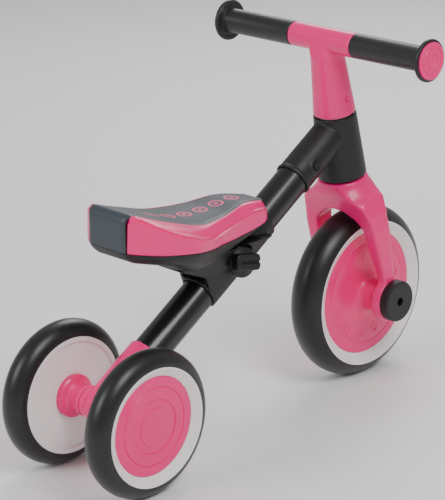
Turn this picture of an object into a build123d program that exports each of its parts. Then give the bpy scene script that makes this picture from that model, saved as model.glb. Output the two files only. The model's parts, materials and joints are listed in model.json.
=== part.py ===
from build123d import *
import os
from math import atan2, cos, hypot, radians, sin

# A toddler's foot-pushed tricycle, in millimetres.
# +X forward, +Y to the rider's left, +Z up. Origin on the floor under the middle of the bounding box.

# ---- Driving dimensions ----
REAR_TYRE_D = 160.0        # outer diameter of each rear tyre
FRONT_TYRE_D = 204.3       # outer diameter of the front tyre
WHEELBASE = 403.2          # rear axle to front axle
REAR_TRACK = 127.2         # between the rear wheels' centre planes
STEER_LEAN = 10.35         # backward lean of the steering axis, degrees
BAR_REACH = 313.4          # front axle to handlebar centre, along the steering axis
BAR_LENGTH = 302.8         # over the grips' end caps
SADDLE_ALONG = 217.0       # rear axle to saddle clamp, along the main tube

# ---- Clearances ----
RUNNING = 0.05             # radial, between a shaft and what turns on it
SLIDING = 0.08             # radial, between a pin and its guide
GAP = 0.3                  # between faces of bodies that move past each other

# ---- Main tube, head and carrier ----
TUBE_R = 19.0
TUBE_WALL = 1.5
TUBE_START = 14.0          # lower end, from the rear axle
TUBE_SHORT = 30.43         # its upper end stops this far before the steering axis
HEAD_MEETS = 58.354        # the tube's axis meets the steering axis this far above the head's lower face
HEAD_LENGTH = 75.4
HEAD_LOW_R = 28.0
HEAD_TOP_R = 24.5
HEAD_BORE_R = 17.5
SLEEVE_REACH = 86.93       # open end of the head sleeve, back along the tube from the steering axis
SLEEVE_WALL = 1.6
SLEEVE_LIP_WALL = 2.4
SLEEVE_LIP = 4.0
BUSH_LENGTH = 16.0
BUSH_FLANGE = 1.2
CARRIER_R = 17.0           # cross barrel round the rear axle
CARRIER_HALF = 21.6
CARRIER_SOCKET_WALL = 2.6
CARRIER_SOCKET_END = 76.0
CARRIER_SCREW_AT = 55.0
CARRIER_SCREW_R = 3.0

# ---- Rear wheels ----
REAR_AXLE_R = 5.0
REAR_TYRE_SECTION = 16.0   # radius of the round tyre section
REAR_RIM_DEEP = 15.8       # outer edge of the rim flange, below the tread
REAR_RIM_HALF = 17.8       # half the rim's width
REAR_BED_DEEP = 21.0       # the tyre's seat on the rim, below the tread
REAR_BED_HALF = 13.2       # half the seat's width, inside the rim's flanges
REAR_COVER_DEEP = 26.2     # edge of the cover, below the tread
REAR_COVER_FACE = 11.2     # outward offset of the cover's edge from the wheel's centre plane
REAR_DISC = -15.1          # outer side of the collar's disc: the rim's inner face
COLLAR_DISC_R = 23.5
COLLAR_WAIST_R = 15.5
REAR_BUSH_R = 8.0
NUT_R = 9.0

# ---- Front wheel ----
FRONT_AXLE_R = 4.0
FRONT_RIM_DEEP = 15.95
FRONT_RIM_HALF = 22.3
FRONT_BED_DEEP = 22.15
FRONT_BED_HALF = 17.5
FRONT_TYRE_SECTION = 23.6
FRONT_COVER_DEEP = 28.75
FRONT_COVER_FACE = 15.6
FRONT_BOSS_R = 18.0
BEARING_R = 11.0
BEARING_WIDTH = 7.0
SPACER_R = 6.5

# ---- Fork, steerer and stem ----
LEG_BOSS_IN = 44.0         # inner face of each leg's axle boss, from the middle
LEG_BOSS_OUT = 55.6
LEG_BOSS_IN_R = 27.5
LEG_BOSS_OUT_R = 24.5
CROWN_CLEAR = 8.85         # underside of the crown, above the tyre
CROWN_TALL = 38.7          # the crown, from its underside to the head
STEERER_R = 14.0
STEERER_WALL = 2.0
STEERER_SUNK = 11.0        # its lower end, above the crown's underside
STEERER_SHORT = 19.4       # its upper end, below the handlebar's centre
STEM_LOW_R = 24.15
STEM_TOP_R = 19.25
STEM_BLEND = 21.4          # the stem blends into the crossbar over this height below its centre
CAP_R = 24.0
CAP_THICK = 10.4
CAP_HEX = 9.6              # across flats
AXLE_IN_CAP = 4.0

# ---- Handlebar ----
GRIP_R = 14.0
BAR_TUBE_R = 11.0
BAR_TUBE_WALL = 1.5
CROSSBAR = 90.0            # pink middle of the handlebar
FLANGE_R = 23.4
FLANGE_THICK = 4.6
END_CAP_R = 20.4
END_CAP_THICK = 2.6

# ---- Saddle ----
SADDLE_BACK = -172.8       # rear face and nose, from the clamp's centre
SADDLE_NOSE = 44.7
SHELL_WALL = 4.0
PAN_WALL = 3.0
SADDLE_HALF = 67.0         # widest half-width
PAD_THICK = 7.0
BRACKET_REAR = -50.0       # ends of the bracket along the main tube, from the clamp's centre
BRACKET_FRONT = 63.0
BRACKET_WALL = 2.5
BRACKET_FLARE = 33.0       # half-width of the bracket's block where it meets the pan
BRACKET_BORE_R = TUBE_R + SLIDING
KNOB_TILT = 14.0           # the clamp knob's axis is radial, this far above level on the right, degrees
KNOB_R = 17.5
SCREW_R = 4.0
CLAMP_BOSS_R = 13.0
CLAMP_BOSS_TALL = 8.0      # outer face of the clamp boss, from the tube's surface
KNOB_ROOM = 1.5            # round the knob, to the bracket
INSERT_R = 7.0
INSERT_SUNK = 2.8          # inner face of the threaded insert, from the tube's surface
GRIP_BAR = 32.0            # the knob's grip bar: length, width, depth and how far it turns from the tube
GRIP_BAR_WIDE = 18.0
GRIP_BAR_DEEP = 11.0
GRIP_BAR_TURN = -42.0
BUTTON_REACH = 63.43       # the frame button, back along the tube from the steering axis
BUTTON_TILT = 12.0         # radial, above level on the right, degrees
BUTTON_R = 4.5
STEM_BUTTON_UP = 20.9      # the stem button, above the head
STEM_BUTTON_R = 2.3

# ---- Derived places ----
REAR_R = REAR_TYRE_D / 2
FRONT_R = FRONT_TYRE_D / 2
LENGTH = REAR_R + WHEELBASE + FRONT_R
REAR_X = REAR_R - LENGTH / 2
FRONT_X = REAR_X + WHEELBASE
WHEEL_Y = REAR_TRACK / 2
REAR_RIM_R = REAR_R - REAR_RIM_DEEP
REAR_BED_R = REAR_R - REAR_BED_DEEP
REAR_COVER_R = REAR_R - REAR_COVER_DEEP
FRONT_RIM_R = FRONT_R - FRONT_RIM_DEEP
FRONT_BED_R = FRONT_R - FRONT_BED_DEEP
FRONT_COVER_R = FRONT_R - FRONT_COVER_DEEP
SLEEVE_R = TUBE_R + SLEEVE_WALL
SLEEVE_LIP_R = TUBE_R + SLEEVE_LIP_WALL
CARRIER_SOCKET_R = TUBE_R + CARRIER_SOCKET_WALL
BRACKET_R = TUBE_R + BRACKET_WALL
CLAMP_BOSS_OUT = TUBE_R + CLAMP_BOSS_TALL
INSERT_IN = TUBE_R + INSERT_SUNK
CROWN_UNDER = FRONT_R + CROWN_CLEAR
HEAD_LOW = CROWN_UNDER + CROWN_TALL
HEAD_HIGH = HEAD_LOW + HEAD_LENGTH
STEERER_LOW = CROWN_UNDER + STEERER_SUNK
STEERER_TOP = BAR_REACH - STEERER_SHORT
STEM_NECK = BAR_REACH - STEM_BLEND
STEM_BUTTON_ALONG = HEAD_HIGH + STEM_BUTTON_UP
lean = radians(STEER_LEAN)

# The main tube rises from the rear axle to the point where its axis meets the steering axis.
meet_x = WHEELBASE - (HEAD_LOW + HEAD_MEETS) * sin(lean)
meet_z = FRONT_R - REAR_R + (HEAD_LOW + HEAD_MEETS) * cos(lean)
rise = atan2(meet_z, meet_x)
TUBE_REACH = hypot(meet_x, meet_z)
TUBE_END = TUBE_REACH - TUBE_SHORT
SLEEVE_START = TUBE_REACH - SLEEVE_REACH
BUTTON_ALONG = TUBE_REACH - BUTTON_REACH

# Along the main tube: local X square to it and upward, local Y to the right, local Z up the slope.
TUBE = Plane(origin=(REAR_X, 0, REAR_R), x_dir=(-sin(rise), 0, cos(rise)), z_dir=(cos(rise), 0, sin(rise)))
# Along the steering axis: local X forward, local Y to the left, local Z up the axis from the front axle.
STEER = Plane(origin=(FRONT_X, 0, FRONT_R), x_dir=(cos(lean), 0, sin(lean)), z_dir=(-sin(lean), 0, cos(lean)))
# The same slope as the main tube, from the saddle clamp's centre.
RAIL = Plane(origin=(0, 0, 0), x_dir=(-sin(rise), 0, cos(rise)), z_dir=(cos(rise), 0, sin(rise)))
FRONT_HUB = Plane(origin=(FRONT_X, 0, FRONT_R), x_dir=(1, 0, 0), z_dir=(0, 1, 0))
LOW_AXIS = (Align.CENTER, Align.CENTER, Align.MIN)


def hub_plane(side):
    """Centre of a rear wheel, local Z outward; side is 1 for left and -1 for right."""
    return Plane(origin=(REAR_X, side * WHEEL_Y, REAR_R), x_dir=(1, 0, 0), z_dir=(0, side, 0))


def rod(radius, low, high, x=0.0, y=0.0):
    """Round bar along local Z."""
    return Pos(x, y, low) * Cylinder(radius, high - low, align=LOW_AXIS)


def pipe(outer, inner, low, high, x=0.0, y=0.0):
    return rod(outer, low, high, x, y) - rod(inner, low, high, x, y)


def cone(low_r, high_r, low, high):
    return Pos(0, 0, low) * Cone(low_r, high_r, high - low, align=LOW_AXIS)


def turned(*outline):
    """Body turned about local Z from a closed outline of (radius, height) points."""
    wire = Polyline(*[(r, 0, z) for r, z in outline], close=True)
    return revolve(make_face(wire), Axis.Z)


def cross_rod(radius, low, high, x, z):
    """Round bar along local Y, from y = low to y = high."""
    return Pos(x, (low + high) / 2, z) * Rot(90, 0, 0) * Cylinder(radius, high - low)


def slab(points, half):
    """Outline of (x, z) points, extruded to y = -half and y = half."""
    return extrude(make_face(Polyline(*[(x, 0, z) for x, z in points], close=True)), half, dir=(0, 1, 0),
        both=True)


def tube_point(along, rise_by):
    """World (x, z) of a point beside the main tube's axis."""
    x = REAR_X + along * cos(rise) - rise_by * sin(rise)
    z = REAR_R + along * sin(rise) + rise_by * cos(rise)
    return x, z


def side_plane(plane, along, tilt):
    """Local Z points out of a tube to the right, tilted up; local X runs up the tube."""
    outward = (sin(radians(tilt)), cos(radians(tilt)), 0)
    return Location(plane) * Pos(0, 0, along) * Location(Plane(origin=(0, 0, 0), x_dir=(0, 0, 1),
        z_dir=outward))


def rail_point(along, rise_by):
    """The same, measured from the saddle clamp's centre."""
    return along * cos(rise) - rise_by * sin(rise), along * sin(rise) + rise_by * cos(rise)


def tyre(outer_r, rim_r, bed_r, bed_half, rim_half, section_r):
    """Round-section tyre on a flat rim bed, seated between the rim's flanges."""
    centre = outer_r - section_r
    edge = (section_r**2 - (rim_r - centre) ** 2) ** 0.5
    half = min(edge, rim_half)
    side = [(bed_r, 0, -bed_half), (rim_r, 0, -bed_half), (rim_r, 0, -half)]
    arc_r = centre + (section_r**2 - half**2) ** 0.5
    low = Polyline(*side, (arc_r, 0, -half))
    arc = ThreePointArc((arc_r, 0, -half), (outer_r, 0, 0), (arc_r, 0, half))
    high = Polyline((arc_r, 0, half), (rim_r, 0, half), (rim_r, 0, bed_half), (bed_r, 0, bed_half))
    close = Line((bed_r, 0, bed_half), (bed_r, 0, -bed_half))
    return revolve(make_face([low, arc, high, close]), Axis.Z)


def rear_wheel(side):
    """Tyre, rim, cover, hub collar and bushes of one rear wheel."""
    hub = hub_plane(side)
    bed_half = REAR_BED_HALF
    pieces = {}
    pieces["tyre"] = tyre(REAR_R, REAR_RIM_R, REAR_BED_R, bed_half, REAR_RIM_HALF, REAR_TYRE_SECTION)

    wall = 3.0
    shelf = REAR_COVER_FACE - 3.0
    hub_top = 6.0
    pieces["rim"] = turned(
        (REAR_BUSH_R, REAR_DISC), (REAR_RIM_R - 6, REAR_DISC), (REAR_RIM_R - 4.5, -REAR_RIM_HALF),
        (REAR_RIM_R, -REAR_RIM_HALF), (REAR_RIM_R, -bed_half), (REAR_BED_R, -bed_half),
        (REAR_BED_R, bed_half),
        (REAR_RIM_R, bed_half), (REAR_RIM_R, REAR_RIM_HALF), (REAR_RIM_R - 1.5, REAR_RIM_HALF),
        (REAR_COVER_R + 0.2, REAR_COVER_FACE), (REAR_COVER_R + 0.2, shelf), (REAR_COVER_R - 4, shelf),
        (REAR_COVER_R - 4, shelf - wall), (REAR_BED_R - wall, shelf - wall),
        (REAR_BED_R - wall, REAR_DISC + wall),
        (REAR_BUSH_R + wall, REAR_DISC + wall), (REAR_BUSH_R + wall, hub_top), (REAR_BUSH_R, hub_top),
    )
    rib_length = REAR_BED_R - REAR_BUSH_R - wall
    rib = Pos((REAR_BUSH_R + REAR_BED_R - wall) / 2, 0, REAR_DISC + wall + 5) * Box(rib_length, 2.5, 10.4)
    pieces["rim"] += PolarLocations(0, 6) * rib
    pieces["rim"] -= rod(REAR_BUSH_R, REAR_DISC, hub_top)

    face, thick = REAR_COVER_FACE, 2.4
    cover = turned(
        (0, face - thick), (REAR_COVER_R, face - thick), (REAR_COVER_R, face),
        (0.81 * REAR_COVER_R, face + 1.0),
        (0.78 * REAR_COVER_R, face + 0.4), (0.56 * REAR_COVER_R, face + 1.6),
        (0.53 * REAR_COVER_R, face + 1.0),
        (0.39 * REAR_COVER_R, face + 1.6), (0.37 * REAR_COVER_R, face + 2.4), (0, face + 3.0),
    )
    notch = Rot(0, 0, 140 * side) * Pos(REAR_COVER_R, 0, face) * Box(3.2, 17, 2 * thick + 2)
    pieces["cover"] = cover - notch

    inner_end = CARRIER_HALF + GAP - WHEEL_Y
    disc_low = REAR_DISC - 6.5
    collar = turned(
        (REAR_BUSH_R, REAR_DISC), (COLLAR_DISC_R, REAR_DISC), (COLLAR_DISC_R, disc_low + 1.5),
        (COLLAR_DISC_R - 1.5, disc_low), (COLLAR_WAIST_R + 2.5, disc_low - 1.5),
        (COLLAR_WAIST_R, disc_low - 5),
        (COLLAR_WAIST_R, disc_low - 10), (CARRIER_R, inner_end + 4), (CARRIER_R, inner_end),
        (REAR_BUSH_R, inner_end),
    )
    pieces["collar"] = collar
    bore = REAR_AXLE_R + RUNNING
    inner_bush = pipe(REAR_BUSH_R, bore, inner_end, inner_end + 10)
    outer_bush = pipe(REAR_BUSH_R, bore, hub_top - 10, hub_top)
    pieces["bushes"] = inner_bush + outer_bush
    return {name: hub * piece for name, piece in pieces.items()}


def rear_axle():
    """Plain steel axle and the push nuts that keep the wheels on."""
    nut_low = WHEEL_Y + 6.0 + GAP
    axle = cross_rod(REAR_AXLE_R, -nut_low - 1.8, nut_low + 1.8, REAR_X, REAR_R)
    nuts = [hub_plane(side) * (pipe(NUT_R, REAR_AXLE_R, 6.0 + GAP, 7.5 + GAP)) for side in (1, -1)]
    return {"rear_axle": axle, "rear_axle_push_nuts": Compound(children=nuts)}


def main_frame():
    """Main tube, head casting with its tube sleeve, and the rear axle carrier."""
    tube = TUBE * pipe(TUBE_R, TUBE_R - TUBE_WALL, TUBE_START, TUBE_END)
    button_at = side_plane(TUBE, BUTTON_ALONG, BUTTON_TILT)
    button_hole = button_at * rod(BUTTON_R + SLIDING, 0, SLEEVE_R + 6)
    screw_hole = TUBE * Pos(0, 0, CARRIER_SCREW_AT) * Rot(90, 0, 0) * Cylinder(CARRIER_SCREW_R, 3 * TUBE_R)
    tube = tube - button_hole - screw_hole

    barrel = STEER * cone(HEAD_LOW_R, HEAD_TOP_R, HEAD_LOW, HEAD_HIGH)
    sleeve = rod(SLEEVE_R, SLEEVE_START, TUBE_END + 14)
    sleeve = TUBE * (sleeve + rod(SLEEVE_LIP_R, SLEEVE_START, SLEEVE_START + SLEEVE_LIP))
    ring = button_at * rod(BUTTON_R + 2.0, TUBE_R, SLEEVE_R + 1.2)
    head = barrel + (sleeve - STEER * rod(HEAD_LOW_R - 4, HEAD_LOW - 60, HEAD_HIGH + 60)) + ring
    head -= TUBE * rod(TUBE_R, SLEEVE_START - 1, TUBE_END)
    head -= STEER * (rod(HEAD_BORE_R, HEAD_LOW - 1, HEAD_HIGH + 1))
    head -= button_hole

    bush_bore = STEERER_R + RUNNING
    flange_r = HEAD_BORE_R + 3.5
    lower_bush = STEER * (
        pipe(HEAD_BORE_R, bush_bore, HEAD_LOW, HEAD_LOW + BUSH_LENGTH)
        + pipe(flange_r, bush_bore, HEAD_LOW - BUSH_FLANGE, HEAD_LOW)
    )
    upper_bush = STEER * (
        pipe(HEAD_BORE_R, bush_bore, HEAD_HIGH - BUSH_LENGTH, HEAD_HIGH)
        + pipe(flange_r, bush_bore, HEAD_HIGH, HEAD_HIGH + BUSH_FLANGE)
    )

    cross = cross_rod(CARRIER_R, -CARRIER_HALF, CARRIER_HALF, REAR_X, REAR_R)
    nose = Pos(REAR_X, 0, REAR_R) * Sphere(CARRIER_SOCKET_R) & slab(
        [(REAR_X - 40, 0), (REAR_X + 40, 0), (REAR_X + 40, 160), (REAR_X - 40, 160)], CARRIER_HALF)
    socket = TUBE * rod(CARRIER_SOCKET_R, 0, CARRIER_SOCKET_END)
    carrier = cross + nose + (socket & slab(
        [(REAR_X - 90, 0), (REAR_X + 160, 0), (REAR_X + 160, 260), (REAR_X - 90, 260)], CARRIER_HALF + 3))
    carrier -= TUBE * rod(TUBE_R, TUBE_START, CARRIER_SOCKET_END + 1)
    carrier -= cross_rod(REAR_AXLE_R, -CARRIER_HALF - 5, CARRIER_HALF + 5, REAR_X, REAR_R)
    side_trim = CARRIER_HALF + 0.01
    hub_gap = cross_rod(30, side_trim, 60, REAR_X, REAR_R) + cross_rod(30, -60, -side_trim, REAR_X, REAR_R)
    carrier -= hub_gap
    screw = cross_rod(CARRIER_SCREW_R, -TUBE_R - 6, TUBE_R + 6, *tube_point(CARRIER_SCREW_AT, 0))
    carrier -= screw
    heads = cross_rod(5.0, TUBE_R + 6, TUBE_R + 8.4, *tube_point(CARRIER_SCREW_AT, 0))
    heads += cross_rod(5.0, -TUBE_R - 8.4, -TUBE_R - 6, *tube_point(CARRIER_SCREW_AT, 0))
    return {
        "main_tube": tube, "head_tube": head, "steering_bush_upper": upper_bush,
        "steering_bush_lower": lower_bush,
        "rear_axle_carrier": carrier, "carrier_cross_bolt": screw + heads,
    }


def front_wheel():
    """Tyre, rim, two covers with hub bosses, bearings."""
    bed_half = FRONT_BED_HALF
    wall = 3.0
    web = 2.0
    hub_r, hub_half = BEARING_R + 3.5, 12.0
    shelf = FRONT_COVER_FACE - 2.6
    half = [
        (FRONT_BED_R, bed_half), (FRONT_RIM_R, bed_half), (FRONT_RIM_R, FRONT_RIM_HALF),
        (FRONT_RIM_R - 1.5, FRONT_RIM_HALF), (FRONT_COVER_R + 0.2, FRONT_COVER_FACE),
        (FRONT_COVER_R + 0.2, shelf),
        (FRONT_COVER_R - 4, shelf), (FRONT_COVER_R - 4, shelf - wall), (FRONT_BED_R - wall, shelf - wall),
        (FRONT_BED_R - wall, web), (hub_r, web), (hub_r, hub_half), (BEARING_R, hub_half),
    ]
    rim = turned(*half, *[(r, -w) for r, w in reversed(half)])
    rim += pipe(hub_r - 1, BEARING_R - 2, -hub_half + BEARING_WIDTH, hub_half - BEARING_WIDTH)
    rib_length = FRONT_BED_R - wall - hub_r + 2
    for direction in (1, -1):
        rib = Pos(hub_r - 1 + rib_length / 2, 0, direction * 5.5) * Box(rib_length, 3, 8)
        rim += PolarLocations(0, 6) * rib

    face, thick = FRONT_COVER_FACE, 2.6
    cover = turned(
        (SPACER_R + 2.5, face - thick), (FRONT_COVER_R, face - thick), (FRONT_COVER_R, face),
        (0.84 * FRONT_COVER_R, face + 0.8), (0.81 * FRONT_COVER_R, face + 0.2),
        (FRONT_BOSS_R + 9, face + 1.8),
        (FRONT_BOSS_R + 2, face + 3.6), (FRONT_BOSS_R, face + 6.5), (FRONT_BOSS_R, LEG_BOSS_IN - GAP - 1),
        (FRONT_BOSS_R - 1, LEG_BOSS_IN - GAP), (SPACER_R + 2.5, LEG_BOSS_IN - GAP),
    )
    tread = tyre(FRONT_R, FRONT_RIM_R, FRONT_BED_R, bed_half, FRONT_RIM_HALF, FRONT_TYRE_SECTION)
    bearing = pipe(BEARING_R, FRONT_AXLE_R + RUNNING, hub_half - BEARING_WIDTH, hub_half)
    turn = Rot(180, 0, 0)
    return {
        "front_tyre": FRONT_HUB * tread, "front_rim": FRONT_HUB * rim, "front_cover_left": FRONT_HUB * cover,
        "front_cover_right": FRONT_HUB * (turn * cover),
        "front_wheel_bearings": FRONT_HUB * (bearing + turn * bearing),
    }


def front_axle():
    """Axle rod, spacer tubes and the two capped nuts with hex sockets."""
    reach = LEG_BOSS_OUT + AXLE_IN_CAP
    spacer = pipe(SPACER_R, FRONT_AXLE_R, 12.0 + GAP, LEG_BOSS_IN)
    low, high = LEG_BOSS_OUT, LEG_BOSS_OUT + CAP_THICK
    cap = turned((0, low), (CAP_R, low), (CAP_R, high - 2.3), (CAP_R - 0.7, high - 0.7), (CAP_R - 2.3, high),
        (0, high))
    cap -= rod(FRONT_AXLE_R, low - 1, low + AXLE_IN_CAP)
    cap -= Pos(0, 0, high - 5.0) * extrude(RegularPolygon(CAP_HEX / 2, 6, major_radius=False), 6)
    turn = Rot(180, 0, 0)
    return {
        "front_axle": FRONT_HUB * rod(FRONT_AXLE_R, -reach, reach),
        "front_axle_spacers": FRONT_HUB * (spacer + turn * spacer),
        "axle_cap_left": FRONT_HUB * cap, "axle_cap_right": FRONT_HUB * (turn * cap),
    }


def fork():
    """One moulding: crown, shoulders, two legs and their axle bosses."""
    top = HEAD_LOW - BUSH_FLANGE - GAP
    right_half = [
        (28.0, top), (34.5, top - 6), (42.5, top - 19), (49.5, top - 38), (52.5, top - 58), (54.0, top - 90),
        (LEG_BOSS_OUT, 20.0), (LEG_BOSS_OUT, -16.0), (LEG_BOSS_IN, -16.0), (LEG_BOSS_IN, 20.0),
        (37.5, top - 84),
        (34.0, top - 56), (24.0, CROWN_UNDER - 9), (12.0, CROWN_UNDER - 1.5), (0, CROWN_UNDER),
    ]
    front_view = [(y, s) for y, s in right_half] + [(-y, s) for y, s in reversed(right_half[:-1])]
    front = extrude(make_face(Polyline(*[(0, y, s) for y, s in front_view], close=True)), 40, dir=(1, 0, 0),
        both=True)
    side_view = [
        (28.0, top), (24.0, top - 12), (17.5, top - 26), (13.5, top - 42), (12.5, top - 66), (8.5, 40.0),
        (9.5, 20.0),
        (16.0, 8.0), (16.0, -16.0), (-16.0, -16.0), (-16.0, 8.0), (-9.5, 20.0), (-10.0, 40.0),
        (-14.5, top - 66),
        (-16.0, top - 46), (-20.0, top - 30), (-26.0, top - 14), (-28.0, top),
    ]
    side = extrude(make_face(Polyline(*[(u, 0, s) for u, s in side_view], close=True)), 70, dir=(0, 1, 0),
        both=True)
    flare = [
        (28.0, top), (29.5, top - 6), (32.0, top - 9.7), (38.0, top - 17), (45.0, top - 22), (52.0, top - 29),
        (56.0, top - 38),
    ]
    crown = turned((0, top), *flare, (0, top - 38)) + rod(75, -80, top - 38)
    body = front & side & crown
    boss = Rot(-90, 0, 0) * cone(LEG_BOSS_IN_R, LEG_BOSS_OUT_R, LEG_BOSS_IN, LEG_BOSS_OUT)
    lug = Pos(27.0, LEG_BOSS_OUT - 4, -18) * Box(16, 6, 8)
    for direction in (0, 180):
        body += Rot(0, 0, direction) * boss
    body += lug + mirror(lug, Plane.XZ)
    body -= rod(STEERER_R, STEERER_LOW, HEAD_LOW)
    body -= Rot(90, 0, 0) * Cylinder(FRONT_AXLE_R, 140)
    return STEER * body


def stem_and_bar():
    """Steerer tube, stem with its crossbar, handlebar tube, grips and end caps."""
    steerer = pipe(STEERER_R, STEERER_R - STEERER_WALL, STEERER_LOW, STEERER_TOP)
    low = HEAD_HIGH + BUSH_FLANGE + GAP
    post = cone(STEM_LOW_R, STEM_TOP_R, low, STEM_NECK) + rod(STEM_TOP_R, STEM_NECK, BAR_REACH + GRIP_R)
    blend_drop = BAR_REACH - STEM_NECK
    outline = make_hull(
        (Pos(0, 0) * Circle(GRIP_R)).edges()
        + (Pos(0, -blend_drop) * Rectangle(2 * STEM_TOP_R, 0.5)).edges()
    )
    profile = Plane(origin=(0, 0, BAR_REACH), x_dir=(1, 0, 0), z_dir=(0, -1, 0)) * outline
    neck = extrude(profile, 2 * STEM_TOP_R, both=True)
    post = (post & (neck + rod(STEM_LOW_R + 5, low, STEM_NECK)))
    bar = Pos(0, 0, BAR_REACH) * Rot(90, 0, 0) * Cylinder(GRIP_R, CROSSBAR)
    stem = post + bar
    stem -= rod(STEERER_R, low - 1, STEERER_TOP)
    stem -= Pos(0, 0, BAR_REACH) * Rot(90, 0, 0) * Cylinder(BAR_TUBE_R, CROSSBAR + 1)
    pin_hole = Pos(0, 0, STEM_BUTTON_ALONG) * Rot(90, 0, 0) * rod(STEM_BUTTON_R + SLIDING, 0, STEM_LOW_R + 5)
    stem -= pin_hole
    steerer -= pin_hole

    half = BAR_LENGTH / 2
    across = Pos(0, 0, BAR_REACH) * Rot(-90, 0, 0)
    bar_end = half - END_CAP_THICK
    tube = across * pipe(BAR_TUBE_R, BAR_TUBE_R - BAR_TUBE_WALL, -bar_end + 3, bar_end - 3)
    inner = CROSSBAR / 2
    grip = turned(
        (BAR_TUBE_R, inner), (GRIP_R, inner), (GRIP_R, bar_end - FLANGE_THICK - 2),
        (GRIP_R + 1.5, bar_end - FLANGE_THICK - 0.4),
        (FLANGE_R - 1, bar_end - FLANGE_THICK), (FLANGE_R, bar_end - FLANGE_THICK + 1),
        (FLANGE_R, bar_end - 1),
        (FLANGE_R - 1, bar_end), (END_CAP_R, bar_end), (END_CAP_R, bar_end - 1.2),
        (BAR_TUBE_R, bar_end - 1.2),
    )
    cap = turned(
        (0, bar_end - 1.2), (END_CAP_R, bar_end - 1.2), (END_CAP_R, half - 1), (END_CAP_R - 1, half - 0.3),
        (0.76 * END_CAP_R, half - 0.3), (0.74 * END_CAP_R, half - 0.8), (0.36 * END_CAP_R, half - 0.8),
        (0.34 * END_CAP_R, half), (0, half),
    )
    cap += pipe(BAR_TUBE_R - BAR_TUBE_WALL, BAR_TUBE_R - BAR_TUBE_WALL - 1.5, bar_end - 9, bar_end - 1.2)
    turn = Rot(180, 0, 0)
    pieces = {
        "steerer_tube": steerer, "stem": stem, "handlebar_tube": tube, "grip_left": across * grip,
        "grip_right": across * (turn * grip), "grip_cap_left": across * cap,
        "grip_cap_right": across * (turn * cap),
    }
    return {name: STEER * piece for name, piece in pieces.items()}


def saddle_plan(points, inset=0.0):
    """Closed plan face from half-outline points, rear to nose, mirrored about the middle plane and drawn in."""
    rear_x, nose_x = points[0][0], points[-1][0]
    points = [(min(max(x, rear_x + inset), nose_x - inset), y - inset) for x, y in points]
    right = Spline(*[(x, -y, 0) for x, y in points])
    left = Spline(*[(x, y, 0) for x, y in points])
    nose = Line((points[-1][0], -points[-1][1], 0), (points[-1][0], points[-1][1], 0))
    back = Line((points[0][0], points[0][1], 0), (points[0][0], -points[0][1], 0))
    return make_face([right, nose, left, back])


def side_slab(low_curve, high_curve, half=90.0, rise_low=0.0, rise_high=0.0):
    """Side profile between two curves of (x, z) points, extruded across the saddle."""
    low = [(x, 0, z + rise_low) for x, z in low_curve]
    high = [(x, 0, z + rise_high) for x, z in high_curve]
    edges = [Spline(*low), Line(low[-1], high[-1]), Spline(*high), Line(high[0], low[0])]
    return extrude(make_face(edges), half, dir=(0, 1, 0), both=True)


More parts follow.
